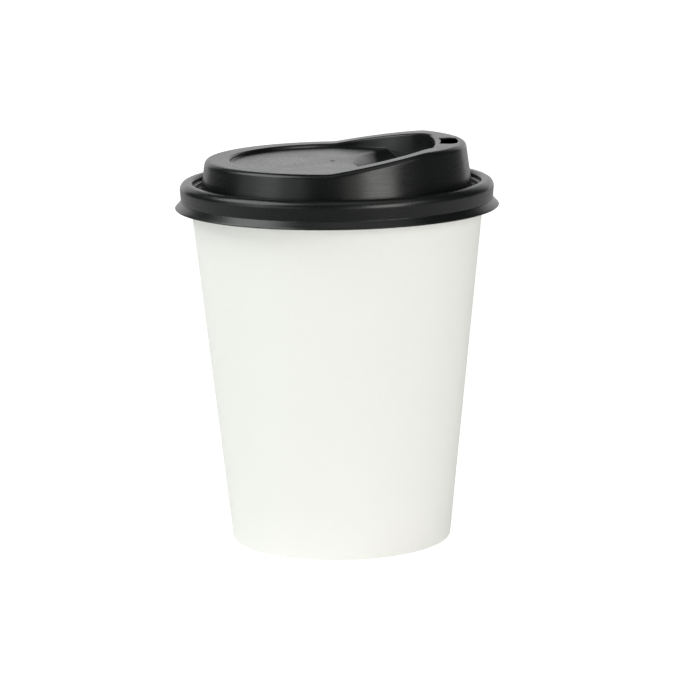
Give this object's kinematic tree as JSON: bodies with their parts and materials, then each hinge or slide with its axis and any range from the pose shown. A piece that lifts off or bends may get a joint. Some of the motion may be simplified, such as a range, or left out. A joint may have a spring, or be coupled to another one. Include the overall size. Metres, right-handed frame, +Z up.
{
  "type": "paper cup",
  "caption": "Tapered white paper hot cup with a rolled rim, lapped side seam and raised base, closed by a black press-on sip lid that lifts off.",
  "frame": {"origin": "centre of the foot ring, on the plane that the cup stands on", "axes": "+Z up along the cup's axis, +X from the axis towards the drinking spout of the lid"},
  "size_m": [0.0836, 0.0836, 0.1034],
  "materials": {
    "white_board": "coated white board, matt outside",
    "black_plastic": "black formed sheet, satin"
  },
  "bodies": {
    "cup": {"cup_sidewall": "white_board", "cup_base": "white_board"},
    "lid": {"sip_lid": "black_plastic"}
  },
  "joints": [
    {"name": "lid_lift", "type": "slide", "parent": "cup", "child": "lid", "axis": [0, 0, 1], "range_m": [0, 0.04]}
  ]
}
